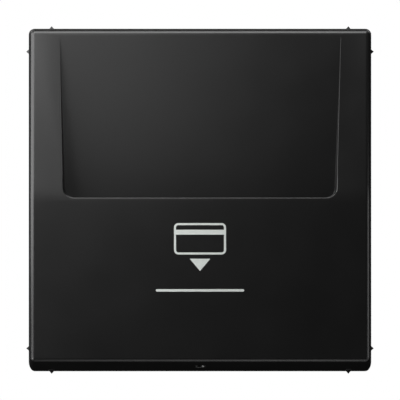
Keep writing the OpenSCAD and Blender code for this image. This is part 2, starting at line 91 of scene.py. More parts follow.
def linear(code: str) -> tuple[float, float, float, float]:
    """Turns an sRGB hex colour to linear light.

    Args:
        code: The colour as "#rrggbb".

    Returns:
        The linear red, green, blue and an alpha of 1.
    """
    parts = [int(code[i:i + 2], 16) / 255 for i in (1, 3, 5)]
    red, green, blue = (p / 12.92 if p <= 0.04045 else ((p + 0.055) / 1.055) ** 2.4 for p in parts)
    return red, green, blue, 1.0


def add_node(tree: bpy.types.NodeTree, kind: str, inputs: dict[str | int, object] | None = None,
             **options: object) -> bpy.types.Node:
    """Adds one node with its settings and links.

    Args:
        tree: The node tree that takes the node.
        kind: The node's type name.
        inputs: Values for its sockets, or sockets of other nodes to link to them.
        options: Values for the node's own settings.

    Returns:
        The new node.
    """
    node = tree.nodes.new(kind)
    for name, value in options.items():
        setattr(node, name, value)
    for socket, value in (inputs or {}).items():
        if isinstance(value, bpy.types.NodeSocket):
            tree.links.new(value, node.inputs[socket])
        else:
            node.inputs[socket].default_value = value
    return node


def new_material(name: str) -> tuple[bpy.types.Material, bpy.types.NodeTree, bpy.types.Node]:
    """Makes an empty node material.

    Args:
        name: The material's name.

    Returns:
        The material, its node tree and its output node.
    """
    material = bpy.data.materials.new(name)
    material.use_nodes = True
    material.node_tree.nodes.clear()
    return material, material.node_tree, add_node(material.node_tree, "ShaderNodeOutputMaterial")


@dataclass(frozen=True)
class MouldedPlastic:
    """An injection-moulded plastic whose skin copies the eroded steel of its mould.

    The grain breaks up the gloss, slow flow marks shift the roughness, and the colour varies a little.
    The real grain is too fine to show, so it is drawn coarser.
    """

    name: str
    slot: str
    colour: str
    flow_colour: str
    roughness: float
    roughness_swing: float
    grain_mm: float
    grain_depth_mm: float
    flow_mm: float
    ior: float = 1.5
    flow_detail: float = 3.0
    flow_low: float = 0.3
    flow_high: float = 0.7
    grain_detail: float = 2.0
    grain_roughness: float = 0.6
    grain_strength: float = 0.6

    def build(self) -> bpy.types.Material:
        """Builds the node material.

        Returns:
            The finished material.
        """
        material, tree, out = new_material(self.name)
        place = add_node(tree, "ShaderNodeTexCoord").outputs["Object"]
        flow = add_node(tree, "ShaderNodeTexNoise",
                        {"Vector": place, "Scale": 1 / (self.flow_mm * MM), "Detail": self.flow_detail})
        grain = add_node(tree, "ShaderNodeTexNoise",
                         {"Vector": place, "Scale": 1 / (self.grain_mm * MM), "Detail": self.grain_detail,
                          "Roughness": self.grain_roughness})
        tint = add_node(tree, "ShaderNodeMix", {"Factor": flow.outputs["Fac"], "A": linear(self.colour),
                                                "B": linear(self.flow_colour)}, data_type="RGBA")
        rough = add_node(tree, "ShaderNodeMapRange",
                         {"Value": flow.outputs["Fac"], "From Min": self.flow_low, "From Max": self.flow_high,
                          "To Min": self.roughness - self.roughness_swing,
                          "To Max": self.roughness + self.roughness_swing})
        bump = add_node(tree, "ShaderNodeBump", {"Height": grain.outputs["Fac"], "Strength": self.grain_strength,
                                                 "Distance": self.grain_depth_mm * MM})
        shader = add_node(tree, "ShaderNodeBsdfPrincipled",
                          {"Base Color": tint.outputs["Result"], "Roughness": rough.outputs["Result"],
                           "Normal": bump.outputs["Normal"], "IOR": self.ior})
        tree.links.new(shader.outputs["BSDF"], out.inputs["Surface"])
        return material


@dataclass(frozen=True)
class WorkedMetal:
    """A rolled, drawn or stamped metal whose rolling lines run along X.

    The lines stretch its highlights, and a slow mottle of plating or tarnish shifts colour and gloss.
    The real lines are too fine to show, so they are drawn coarser.
    """

    name: str
    slot: str
    colour: str
    mottle_colour: str
    roughness: float
    roughness_swing: float
    line_mm: float
    line_length_mm: float
    line_depth_mm: float
    mottle_mm: float
    line_detail: float = 3.0
    line_low: float = 0.25
    line_high: float = 0.75
    line_strength: float = 0.5
    mottle_detail: float = 4.0
    mottle_distortion: float = 0.6

    def build(self) -> bpy.types.Material:
        """Builds the node material.

        Returns:
            The finished material.
        """
        material, tree, out = new_material(self.name)
        place = add_node(tree, "ShaderNodeTexCoord").outputs["Object"]
        stretch = add_node(tree, "ShaderNodeMapping",
                           {"Vector": place, "Scale": (self.line_mm / self.line_length_mm, 1.0, 1.0)})
        lines = add_node(tree, "ShaderNodeTexNoise",
                         {"Vector": stretch.outputs["Vector"], "Scale": 1 / (self.line_mm * MM),
                          "Detail": self.line_detail})
        mottle = add_node(tree, "ShaderNodeTexNoise",
                          {"Vector": place, "Scale": 1 / (self.mottle_mm * MM), "Detail": self.mottle_detail,
                           "Distortion": self.mottle_distortion})
        tint = add_node(tree, "ShaderNodeMix", {"Factor": mottle.outputs["Fac"], "A": linear(self.colour),
                                                "B": linear(self.mottle_colour)}, data_type="RGBA")
        rough = add_node(tree, "ShaderNodeMapRange",
                         {"Value": lines.outputs["Fac"], "From Min": self.line_low, "From Max": self.line_high,
                          "To Min": self.roughness - self.roughness_swing,
                          "To Max": self.roughness + self.roughness_swing})
        bump = add_node(tree, "ShaderNodeBump", {"Height": lines.outputs["Fac"], "Strength": self.line_strength,
                                                 "Distance": self.line_depth_mm * MM})
        shader = add_node(tree, "ShaderNodeBsdfPrincipled",
                          {"Base Color": tint.outputs["Result"], "Roughness": rough.outputs["Result"],
                           "Normal": bump.outputs["Normal"], "Metallic": 1.0})
        tree.links.new(shader.outputs["BSDF"], out.inputs["Surface"])
        return material


@dataclass(frozen=True)
class PadPrintInk:
    """A thin pad-printed ink: matt, a little uneven where the pad left less of it."""

    name: str
    slot: str
    colour: str
    thin_colour: str
    roughness: float
    patch_mm: float
    patch_detail: float = 4.0

    def build(self) -> bpy.types.Material:
        """Builds the node material.

        Returns:
            The finished material.
        """
        material, tree, out = new_material(self.name)
        place = add_node(tree, "ShaderNodeTexCoord").outputs["Object"]
        patch = add_node(tree, "ShaderNodeTexNoise",
                         {"Vector": place, "Scale": 1 / (self.patch_mm * MM), "Detail": self.patch_detail})
        tint = add_node(tree, "ShaderNodeMix", {"Factor": patch.outputs["Fac"], "A": linear(self.colour),
                                                "B": linear(self.thin_colour)}, data_type="RGBA")
        shader = add_node(tree, "ShaderNodeBsdfPrincipled",
                          {"Base Color": tint.outputs["Result"], "Roughness": self.roughness})
        tree.links.new(shader.outputs["BSDF"], out.inputs["Surface"])
        return material


Finish = MouldedPlastic | WorkedMetal | PadPrintInk

# Polycarbonate blend moulded black in a fine eroded mould: satin, with soft wide highlights.
COVER_BLACK = MouldedPlastic("satin_black_moulded_polycarbonate", "cover_plastic", "#101010", "#131313",
                             0.345, 0.015, 0.14, 0.0009, 9.0, 1.585)
# The same blend from a coarser mould for a hidden piece: flatter and a little greyer.
GUIDE_BLACK = MouldedPlastic("matt_dark_moulded_polycarbonate", "guide_plastic", "#2a2b2e", "#303134",
                             0.55, 0.04, 0.22, 0.003, 6.0)
# Natural acetal: creamy white and slippery, so it shines a little more than the base.
LEVER_ACETAL = MouldedPlastic("natural_moulded_acetal", "lever_plastic", "#e2dfd5", "#d8d5c9",
                              0.34, 0.04, 0.30, 0.002, 5.0)
# Glass-filled polyamide: light grey and dull, with the cloudy flow of its fibres.
BASE_POLYAMIDE = MouldedPlastic("grey_glass_filled_polyamide", "base_plastic", "#c6c7c3", "#b9bab6",
                                0.52, 0.06, 0.26, 0.006, 4.0)
# Orange polyester for the pieces that fingers or a screwdriver work.
SLIDER_ORANGE = MouldedPlastic("orange_moulded_polyester", "slider_plastic", "#cc6f2b", "#bd6322",
                               0.42, 0.04, 0.20, 0.003, 2.5)
# Zinc-plated sheet steel: grey-blue with a faint straw mottle, rolling lines along the sheet.
ZINC_SHEET = WorkedMetal("zinc_plated_rolled_steel", "zinc_steel", "#c3c8cd", "#c6c2b6",
                         0.44, 0.07, 0.25, 9.0, 0.0015, 5.0)
# Drawn spring wire: darker, with fine lines from the die.
SPRING_WIRE = WorkedMetal("drawn_spring_steel_wire", "spring_steel", "#a4a8ae", "#8f9297",
                          0.30, 0.05, 0.06, 1.2, 0.0008, 1.5)
# Stamped brass: warm, with duller patches where it has begun to tarnish.
STAMPED_BRASS = WorkedMetal("stamped_brass_strip", "contact_brass", "#d3a955", "#bb9148",
                            0.30, 0.06, 0.12, 4.0, 0.001, 2.0)
# Headed brass: the same metal, smoothed by the heading tool.
RIVET_BRASS = WorkedMetal("headed_brass_rivet", "rivet_brass", "#cbab63", "#b39350",
                          0.26, 0.05, 0.10, 0.8, 0.0008, 1.2)
# Fine silver: pale and soft, lightly scuffed by the contacts' wiping.
CONTACT_SILVER = WorkedMetal("wiped_contact_silver", "silver", "#dcdde0", "#c9cacd",
                             0.28, 0.06, 0.08, 0.6, 0.0008, 0.8)
# Light grey two-part ink: matt on the satin cover.
SIGN_INK = PadPrintInk("light_grey_pad_print_ink", "cover_plastic", "#dce1dd", "#d2d7d3", 0.5, 0.6)


class FinishShelf:
    """Builds each finish once and hands it out by its description."""

    def __init__(self) -> None:
        """Starts with an empty shelf."""
        self._made: dict[str, bpy.types.Material] = {}

    def take(self, finish: Finish) -> bpy.types.Material:
        """Gives the material of a finish.

        Args:
            finish: The finish's description.

        Returns:
            The one material made from it.
        """
        if finish.name not in self._made:
            self._made[finish.name] = finish.build()
        return self._made[finish.name]


SHELF = FinishShelf()


@dataclass(frozen=True)
class EdgeSoftening:
    """The small radius that a mould or a press leaves on every sharp edge."""

    width_mm: float
    segments: int = 3
    least_angle_deg: float = 32.0
    by_weight: bool = False
    face_weight: int = 80

    def apply_to(self, piece: bpy.types.Object) -> None:
        """Adds the rounding and weighted normals to a piece.

        Args:
            piece: The mesh object to soften.
        """
        bevel = piece.modifiers.new("edge_radius", "BEVEL")
        bevel.width = self.width_mm * MM
        bevel.segments = self.segments
        bevel.limit_method = "WEIGHT" if self.by_weight else "ANGLE"
        bevel.angle_limit = math.radians(self.least_angle_deg)
        bevel.use_clamp_overlap = False
        bevel.miter_outer = "MITER_ARC"
        normals = piece.modifiers.new("even_faces", "WEIGHTED_NORMAL")
        normals.keep_sharp = False
        normals.weight = self.face_weight


def cad_copy(node: str) -> bmesh.types.BMesh:
    """Copies a CAD node's mesh and merges its loose triangles into whole faces.

    Args:
        node: The node's name.

    Returns:
        The merged copy.
    """
    bm = bmesh.new()
    bm.from_mesh(frame["nodes"][node].data)
    bmesh.ops.remove_doubles(bm, verts=bm.verts, dist=MERGE)
    bmesh.ops.dissolve_limit(bm, angle_limit=math.radians(FLAT_DEG), verts=bm.verts, edges=bm.edges)
    return bm


def finish_piece(bm: bmesh.types.BMesh, name: str, body: Body, finish: Finish) -> bpy.types.Object:
    """Turns a bmesh into a smooth-shaded piece that rides on a body.

    Args:
        bm: The shape, in metres in the part's frame; it is freed.
        name: The piece's name.
        body: The body that carries it.
        finish: The description of its material.

    Returns:
        The new object.
    """
    mesh = bpy.data.meshes.new(name)
    bm.to_mesh(mesh)
    bm.free()
    mesh.shade_smooth()
    mesh.materials.append(SHELF.take(finish))
    piece = bpy.data.objects.new(name, mesh)
    bpy.context.scene.collection.objects.link(piece)
    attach(piece, body.value)
    LOG.info("made %s with %d faces", name, len(mesh.polygons))
    return piece


def softened_node(node: str, body: Body, finish: Finish, softening: EdgeSoftening) -> bpy.types.Object:
    """Replaces a CAD node by a copy with rounded edges.

    Args:
        node: The node's name.
        body: The body that carries it.
        finish: The description of its material.
        softening: The rounding of its edges.

    Returns:
        The new object.
    """
    piece = finish_piece(cad_copy(node), f"{node}_finished", body, finish)
    softening.apply_to(piece)
    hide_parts(node)
    return piece


def spun(bm: bmesh.types.BMesh, profile: list[tuple[float, float]], centre: Vector, steps: int = 40) -> None:
    """Spins a profile about an axis along Y and adds the closed form to a bmesh.

    Args:
        bm: The bmesh that takes the form.
        profile: Pairs of radius and Y in millimetres, from one end of the axis to the other.
        centre: A point of the axis, in metres.
        steps: The number of facets round the axis.
    """
    points = [bm.verts.new(centre + Vector((radius * MM, y * MM, 0))) for radius, y in profile]
    edges = [bm.edges.new(pair) for pair in zip(points, points[1:])]
    bmesh.ops.spin(bm, geom=points + edges, cent=centre, axis=(0, 1, 0), angle=math.tau, steps=steps, use_merge=True)
    bmesh.ops.remove_doubles(bm, verts=bm.verts, dist=MERGE)
    bmesh.ops.recalc_face_normals(bm, faces=bm.faces)


@dataclass
class PanelPrint:
    """The generic sign on the lower panel: a card outline with its stripe, an arrow down, and a slot line.

    Sizes are in millimetres.
    """

    card_w: float = 10.6
    card_h: float = 6.4
    card_corner: float = 0.9
    card_z: float = -7.9
    line: float = 0.42
    stripe_h: float = 1.0
    stripe_drop: float = 1.35
    stripe_corner: float = 0.02
    arrow_w: float = 4.2
    arrow_h: float = 2.5
    arrow_z: float = -13.2
    arrow_corner: float = 0.12
    bar_w: float = 18.0
    bar_h: float = 0.5
    bar_z: float = -18.4
    bar_round: float = 0.98
    ink: float = 0.008
    corner_segments: int = 6

    def build(self) -> None:
        """Makes the printed pieces on the panel's front face."""
        self.card_outline()
        self.card_stripe()
        self.arrow()
        self.slot_bar()

    def _rectangle(self, half_w: float, low: float, high: float) -> list[tuple[float, float]]:
        """Gives the corners of a rectangle in the middle of the panel.

        Args:
            half_w: Half its width in millimetres.
            low: The height of its lower edge.
            high: The height of its upper edge.

        Returns:
            Its corners as X and Z, counterclockwise seen from the front.
        """
        return [(-half_w, low), (half_w, low), (half_w, high), (-half_w, high)]

    def _flat(self, outline: list[tuple[float, float]], corner: float) -> bmesh.types.BMesh:
        """Draws one face on the panel with rounded corners.

        Args:
            outline: Its corners as X and Z in millimetres, counterclockwise seen from the front.
            corner: Its corner radius in millimetres.

        Returns:
            The bmesh with that face.
        """
        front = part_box("front_cover")[0].y
        bm = bmesh.new()
        corners = [bm.verts.new((x * MM, front, z * MM)) for x, z in outline]
        bm.faces.new(corners)
        bmesh.ops.bevel(bm, geom=bm.verts[:], offset=corner * MM, offset_type="OFFSET",
                        segments=self.corner_segments, profile=0.5, affect="VERTICES", material=-1)
        return bm

    def _print(self, bm: bmesh.types.BMesh, name: str) -> None:
        """Gives a flat face the ink's thickness and finishes it.

        Args:
            bm: The flat face; it is freed.
            name: The piece's name.
        """
        raised = bmesh.ops.extrude_face_region(bm, geom=bm.faces[:])
        lifted = [item for item in raised["geom"] if isinstance(item, bmesh.types.BMVert)]
        bmesh.ops.translate(bm, verts=lifted, vec=(0, -self.ink * MM, 0))
        bmesh.ops.recalc_face_normals(bm, faces=bm.faces)
        piece = finish_piece(bm, name, Body.HOUSING, SIGN_INK)
        for polygon in piece.data.polygons:
            polygon.use_smooth = False

    def card_outline(self) -> None:
        """Prints the outline of a card lying across."""
        half_h = self.card_h / 2
        bm = self._flat(self._rectangle(self.card_w / 2, self.card_z - half_h, self.card_z + half_h), self.card_corner)
        inner = bm.faces[:]
        bmesh.ops.inset_individual(bm, faces=inner, thickness=self.line * MM, use_even_offset=True)
        bmesh.ops.delete(bm, geom=inner, context="FACES")
        self._print(bm, "print_card_outline")

    def card_stripe(self) -> None:
        """Prints the stripe across the card."""
        top = self.card_z + self.card_h / 2 - self.stripe_drop
        stripe = self._rectangle(self.card_w / 2 - self.line, top - self.stripe_h, top)
        self._print(self._flat(stripe, self.stripe_corner), "print_card_stripe")

    def arrow(self) -> None:
        """Prints the arrow that points into the pocket."""
        half_w, half_h = self.arrow_w / 2, self.arrow_h / 2
        top = self.arrow_z + half_h
        triangle = [(0, self.arrow_z - half_h), (half_w, top), (-half_w, top)]
        self._print(self._flat(triangle, self.arrow_corner), "print_arrow")

    def slot_bar(self) -> None:
        """Prints the line that stands for the slot."""
        half_h = self.bar_h / 2
        bar = self._rectangle(self.bar_w / 2, self.bar_z - half_h, self.bar_z + half_h)
        self._print(self._flat(bar, half_h * self.bar_round), "print_slot_line")


@dataclass
class CoverAssembly:
    """The black front cover, its print, the guide behind it, and the guide's screws and pin.

    Sizes are in millimetres.
    """

    lip_r: float = 0.25
    lip_segments: int = 4
    lip_half: float = 29.2
    lip_foot: float = 0.3
    lip_top: float = 2.65
    rim_back: float = -10.9
    rim_least_deg: float = 60.0
    rim_front_facing: float = 0.9
    rim_wall_facing: float = 0.1
    fade_top: float = 6.5
    fade_steps: int = 6
    cover_edge: float = 0.08
    notch_edge: float = 0.22
    notch_half: float = 1.4
    notch_face: float = -33.5
    guide_edge: float = 0.15
    screw_edge: float = 0.06
    pin_edge: float = 0.12

    def _on_rim(self, edge: bmesh.types.BMEdge) -> bool:
        """Tells whether an edge lies between the cover's front and a wall of the recess.

        Args:
            edge: An edge of the merged cover.

        Returns:
            True for the lip, its two corners and the two side edges.
        """
        if not edge.is_manifold or not edge.is_convex or edge.calc_face_angle() < math.radians(self.rim_least_deg):
            return False
        front, wall = sorted((face.normal for face in edge.link_faces), key=lambda normal: normal.y)
        near = all(abs(v.co.x) < self.lip_half * MM and v.co.z > self.lip_foot * MM and v.co.y < self.rim_back * MM
                   for v in edge.verts)
        return near and front.y < -self.rim_front_facing and abs(wall.y) < self.rim_wall_facing

    def _rim_share(self, edge: bmesh.types.BMEdge) -> float:
        """Gives the share of the lip's radius that an edge takes.

        Args:
            edge: An edge of the recess's rim.

        Returns:
            1 on the lip and its corners, less and less up the sides.
        """
        least = self.cover_edge / self.lip_r
        middle = sum(v.co.z for v in edge.verts) / 2 / MM
        rise = (middle - self.lip_top) / (self.fade_top - self.lip_top)
        return 1 - (1 - least) * min(max(rise, 0), 1)

    def _step_sides(self, rim: list[bmesh.types.BMEdge]) -> None:
        """Puts points on the long side edges of the rim, between which the radius changes.

        Args:
            rim: The edges of the recess's rim.
        """
        for edge in rim:
            high = max(edge.verts, key=lambda v: v.co.z)
            if high.co.z < self.fade_top * MM:
                continue
            low = edge.other_vert(high)
            stops = [low.co.z + (self.fade_top * MM - low.co.z) * step / self.fade_steps
                     for step in range(1, self.fade_steps + 1)]
            for stop in stops:
                low = edge.other_vert(high)
                point = bmesh.utils.edge_split(edge, low, (stop - low.co.z) / (high.co.z - low.co.z))[1]
                edge = next(part for part in point.link_edges if high in part.verts)

    def cover(self) -> None:
        """Makes the cover from its CAD node, with a rounded lip that leads the card in."""
        bm = cad_copy("front_cover")
        self._step_sides([edge for edge in bm.edges if self._on_rim(edge)])
        share = bm.edges.layers.float.new("bevel_weight_edge")
        rim = [edge for edge in bm.edges if self._on_rim(edge)]
        for edge in bm.edges:
            if edge.is_manifold and edge.calc_face_angle() > math.radians(EdgeSoftening.least_angle_deg):
                edge[share] = self.cover_edge / self.lip_r
        for edge in rim:
            edge[share] = self._rim_share(edge)
        for edge in bm.edges:
            if edge[share] and all(abs(v.co.x) < self.notch_half * MM and v.co.z < self.notch_face * MM
                                   for v in edge.verts):
                edge[share] = self.notch_edge / self.lip_r
        LOG.info("the recess's rim has %d edges", len(rim))
        piece = finish_piece(bm, "front_cover_finished", Body.HOUSING, COVER_BLACK)
        EdgeSoftening(self.lip_r, self.lip_segments, by_weight=True).apply_to(piece)
        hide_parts("front_cover")

    def build(self) -> None:
        """Makes the cover's pieces."""
        self.cover()
        PanelPrint().build()
        softened_node("card_guide", Body.HOUSING, GUIDE_BLACK, EdgeSoftening(self.guide_edge))
        softened_node("guide_screws", Body.HOUSING, ZINC_SHEET, EdgeSoftening(self.screw_edge, FEW_SEGMENTS))
        softened_node("lever_pin", Body.HOUSING, ZINC_SHEET, EdgeSoftening(self.pin_edge))


@dataclass
class WoundSpring:
    """A compression spring of round wire with its end coils closed against their seats.

    Sizes are in millimetres. A closed coil rises by a little more than the wire's thickness.
    """

    node: str
    body: Body
    wire_r: float
    coil_r: float
    turns: float
    closed_turns: float = 1.0
    closed_rise: float = 2.04
    ring_sides: int = 12
    steps_per_turn: int = 40

    def build(self) -> bpy.types.Object:
        """Winds the wire by spinning its round section.

        Returns:
            The spring's object.
        """
        low, high = (corner.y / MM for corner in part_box(self.node))
        start, length = low + self.wire_r, high - low - 2 * self.wire_r
        closed = self.closed_rise * self.wire_r
        end_coil = (self.closed_turns, closed)
        rises = (end_coil, (self.turns - 2 * self.closed_turns, length - 2 * closed), end_coil)
        bm = bmesh.new()
        section = Matrix.Translation((self.coil_r * MM, start * MM, 0))
        ring = bmesh.ops.create_circle(bm, segments=self.ring_sides, radius=self.wire_r * MM, matrix=section)["verts"]
        bmesh.ops.contextual_create(bm, geom=ring)
        last = ring + list(bm.edges)
        for turns, rise in rises:
            steps = round(turns * self.steps_per_turn)
            made = bmesh.ops.spin(bm, geom=last, cent=(0, 0, 0), axis=(0, 1, 0), dvec=(0, rise * MM / steps, 0),
                                  angle=math.tau * turns, steps=steps)
            last = [item for item in made["geom_last"] if not isinstance(item, bmesh.types.BMFace)]
        bmesh.ops.contextual_create(bm, geom=[item for item in last if isinstance(item, bmesh.types.BMVert)])
        bmesh.ops.recalc_face_normals(bm, faces=bm.faces)
        piece = finish_piece(bm, f"{self.node}_wound", self.body, SPRING_WIRE)
        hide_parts(self.node)
        return piece


@dataclass
class SwitchMechanism:
    """The lever that the card tips, the plunger that follows it, the springs and the contact bridge.

    Sizes are in millimetres. A tip's dome is given as shares of its radius and of its height.
    """

    lever_edge: float = 0.15
    plunger_edge: float = 0.15
    bridge_edge: float = 0.1
    tip_edge: float = 0.05
    tip_dome: Profile = ((1.0, 0.62), (0.94, 0.76), (0.75, 0.9), (0.42, 0.98))
    return_wire_r: float = 0.3
    return_coil_r: float = 2.7
    contact_wire_r: float = 0.2
    contact_coil_r: float = 1.5
    spring_turns: float = 6.0
    plunger_travel: float = 2.182
    bridge_travel: float = 1.65

    def build(self) -> None:
        """Makes the moving pieces and their springs."""
        softened_node("card_lever", Body.LEVER, LEVER_ACETAL, EdgeSoftening(self.lever_edge))
        softened_node("plunger", Body.PLUNGER, LEVER_ACETAL, EdgeSoftening(self.plunger_edge))
        softened_node("contact_bridge", Body.BRIDGE, STAMPED_BRASS, EdgeSoftening(self.bridge_edge))
        self.return_spring()
        self.contact_spring()
        self.contact_tips("bridge_contacts", Body.BRIDGE, 1)
        self.contact_tips("fixed_contacts", Body.HOUSING, -1)

    def return_spring(self) -> None:
        """Winds the spring that pushes the plunger back and gives it a mesh of its own."""
        piece = WoundSpring("return_spring", Body.HOUSING, self.return_wire_r, self.return_coil_r,
                            self.spring_turns).build()
        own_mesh(piece)

    def contact_spring(self) -> None:
        """Winds the spring that presses the bridge on and gives it a mesh of its own."""
        piece = WoundSpring("contact_spring", Body.PLUNGER, self.contact_wire_r, self.contact_coil_r,
                            self.spring_turns).build()
        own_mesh(piece)

    def contact_tips(self, node: str, body: Body, facing: int) -> None:
        """Makes the two domed silver tips of a contact pair.

        Args:
            node: The CAD node with the plain tips.
            body: The body that carries them.
            facing: 1 where the domes face +Y, -1 where they face -Y.
        """
        low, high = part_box(node)
        foot, crown = (low.y, high.y) if facing > 0 else (high.y, low.y)
        radius = (high.z - low.z) / 2 / MM
        rise = (crown - foot) / MM
        dome = [(share * radius, height * rise) for share, height in self.tip_dome]
        profile = [(0, 0), (radius, 0), *dome, (0, rise)]
        bm = bmesh.new()
        for side in Side:
            spun(bm, profile, Vector((side.value * (high.x - radius * MM), foot, 0)))
        piece = finish_piece(bm, f"{node}_domed", body, CONTACT_SILVER)
        EdgeSoftening(self.tip_edge, FEW_SEGMENTS).apply_to(piece)
        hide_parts(node)


@dataclass
class WallInsert:
    """The steel ring, the grey base with its lid and rivets, the terminals and the release sliders.

    Sizes are in millimetres. A rivet's head and tail are given as shares of the head's radius and of its height.
    """

    ring_edge: float = 0.16
    base_edge: float = 0.25
    lid_edge: float = 0.15
    clamp_edge: float = 0.05
    clamp_keep: float = 0.88
    terminal_edge: float = 0.08
    rivet_r: float = 1.4
    rivet_head_r: float = 2.2
    rivet_dome: float = 0.8
    rivet_head: Profile = ((0.45, 0.04), (0.75, 0.22), (0.94, 0.55), (1.0, 0.9), (1.0, 1.0))
    rivet_tail: Profile = ((1.0, 1.0), (1.0, 0.75), (0.9, 0.3), (0.7, 0.0), (0.5, 0.12), (0.4, 0.8))
    rivet_edge: float = 0.05
    rivet_edge_deg: float = 40.0
    funnel_r: float = 2.3
    funnel_proud: float = 0.5
    funnel_sunk: float = 0.05
    funnel_gap: float = 0.02
    funnel_lead: float = 0.4
    funnel_flare: float = 0.5
    funnel_chamfer: float = 0.15
    funnel_draft: float = 0.1
    funnel_edge: float = 0.04
    funnel_edge_deg: float = 25.0
    slider_wall: float = 0.45
    slider_slot_depth: float = 1.1
    slider_end_facing: float = 0.9
    slider_edge: float = 0.1
    body_half_h: float = 15.0
    rib_w: float = 0.8
    rib_h: float = 0.5
    rib_pitch: float = 6.0
    ribs_beside_middle: int = 2
    rib_front_gap: float = 0.4
    rib_back_gap: float = 1.5
    rib_edge: float = 0.2

    def build(self) -> None:
        """Makes the insert's pieces."""
        softened_node("support_ring", Body.HOUSING, ZINC_SHEET, EdgeSoftening(self.ring_edge))
        softened_node("switch_base", Body.HOUSING, BASE_POLYAMIDE, EdgeSoftening(self.base_edge))
        softened_node("base_lid", Body.HOUSING, BASE_POLYAMIDE, EdgeSoftening(self.lid_edge))
        self.rivets()
        self.wire_funnels()
        self.body_ribs()
        for side, body in ((Side.LINE, Body.LINE_RELEASE), (Side.LOAD, Body.LOAD_RELEASE)):
            name = side.name.lower()
            softened_node(f"{name}_terminal", Body.HOUSING, STAMPED_BRASS,
                          EdgeSoftening(self.terminal_edge, FEW_SEGMENTS))
            self.clamp_spring(name)
            self.slider(f"{name}_release_slider", body)

    def clamp_spring(self, name: str) -> None:
        """Makes the bent strip that holds a wire and gives it a mesh of its own.

        Args:
            name: The terminal that it belongs to.
        """
        node = f"{name}_clamp_spring"
        piece = softened_node(node, Body.HOUSING, SPRING_WIRE, EdgeSoftening(self.clamp_edge, FEW_SEGMENTS))
        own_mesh(piece)

    def rivets(self) -> None:
        """Makes four rivets with a domed head in front and a rolled tail behind."""
        low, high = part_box("base_rivets")
        front, back = low.y / MM, high.y / MM
        dome, head, shank = self.rivet_dome, self.rivet_head_r, self.rivet_r
        profile = [(0, front), *((share * head, front + depth * dome) for share, depth in self.rivet_head),
                   (shank, front + dome), (shank, back - dome),
                   *((share * head, back - depth * dome) for share, depth in self.rivet_tail), (0, back - dome)]
        bm = bmesh.new()
        for x in (low.x + head * MM, high.x - head * MM):
            for z in (low.z + head * MM, high.z - head * MM):
                spun(bm, profile, Vector((x, 0, z)))
        piece = finish_piece(bm, "base_rivets_headed", Body.HOUSING, RIVET_BRASS)
        EdgeSoftening(self.rivet_edge, FEW_SEGMENTS, self.rivet_edge_deg).apply_to(piece)
        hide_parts("base_rivets")

    def wire_funnels(self) -> None:
        """Makes the moulded collars that lead a wire into its entry."""
        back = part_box("switch_base")[1].y / MM
        bm = bmesh.new()
        for mount in frame["record"]["mounts"]:
            if not mount["name"].endswith("wire_entry"):
                continue
            bore = mount["dims"]["r_mm"]
            inner, outer = bore + self.funnel_gap, self.funnel_r
            top, foot = back + self.funnel_proud, back - self.funnel_sunk
            profile = [(inner, foot), (inner, top - self.funnel_lead), (bore + self.funnel_flare, top),
                       (outer - self.funnel_chamfer, top), (outer, top - self.funnel_chamfer),
                       (outer + self.funnel_draft, foot), (inner, foot)]
            spun(bm, profile, Vector((mount["pos_m"][0], 0, mount["pos_m"][2])))
        piece = finish_piece(bm, "base_wire_funnels", Body.HOUSING, BASE_POLYAMIDE)
        EdgeSoftening(self.funnel_edge, FEW_SEGMENTS, self.funnel_edge_deg).apply_to(piece)

    def body_ribs(self) -> None:
        """Makes the stiffening ribs on the top and the underside of the deep body."""
        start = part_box("base_rivets")[1].y + self.rib_front_gap * MM
        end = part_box("switch_base")[1].y - self.rib_back_gap * MM
        size = Matrix.Diagonal((self.rib_w * MM, end - start, 2 * self.rib_h * MM, 1))
        bm = bmesh.new()
        for step in range(-self.ribs_beside_middle, self.ribs_beside_middle + 1):
            for sign in (-1, 1):
                middle = (step * self.rib_pitch * MM, (start + end) / 2, sign * self.body_half_h * MM)
                bmesh.ops.create_cube(bm, size=1, matrix=Matrix.Translation(middle) @ size)
        piece = finish_piece(bm, "base_body_ribs", Body.HOUSING, BASE_POLYAMIDE)
        EdgeSoftening(self.rib_edge).apply_to(piece)

    def slider(self, node: str, body: Body) -> None:
        """Makes a release slider with the pocket that a screwdriver goes into.

        Args:
            node: The CAD node with the plain slider.
            body: The body that carries it.
        """
        bm = cad_copy(node)
        end = max(bm.faces, key=lambda face: face.calc_center_median().y)
        bmesh.ops.inset_region(bm, faces=[end], thickness=self.slider_wall * MM, use_even_offset=True)
        end = max((face for face in bm.faces if abs(face.normal.y) > self.slider_end_facing),
                  key=lambda face: (round(face.calc_center_median().y / MERGE), len(face.verts) == 4,
                                    -face.calc_area()))
        pocket = bmesh.ops.extrude_face_region(bm, geom=[end])
        moved = [item for item in pocket["geom"] if isinstance(item, bmesh.types.BMVert)]
        bmesh.ops.translate(bm, verts=moved, vec=(0, -self.slider_slot_depth * MM, 0))
        bmesh.ops.delete(bm, geom=[end], context="FACES_ONLY")
        bmesh.ops.recalc_face_normals(bm, faces=bm.faces)
        piece = finish_piece(bm, f"{node}_slotted", body, SLIDER_ORANGE)
        EdgeSoftening(self.slider_edge).apply_to(piece)
        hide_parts(node)


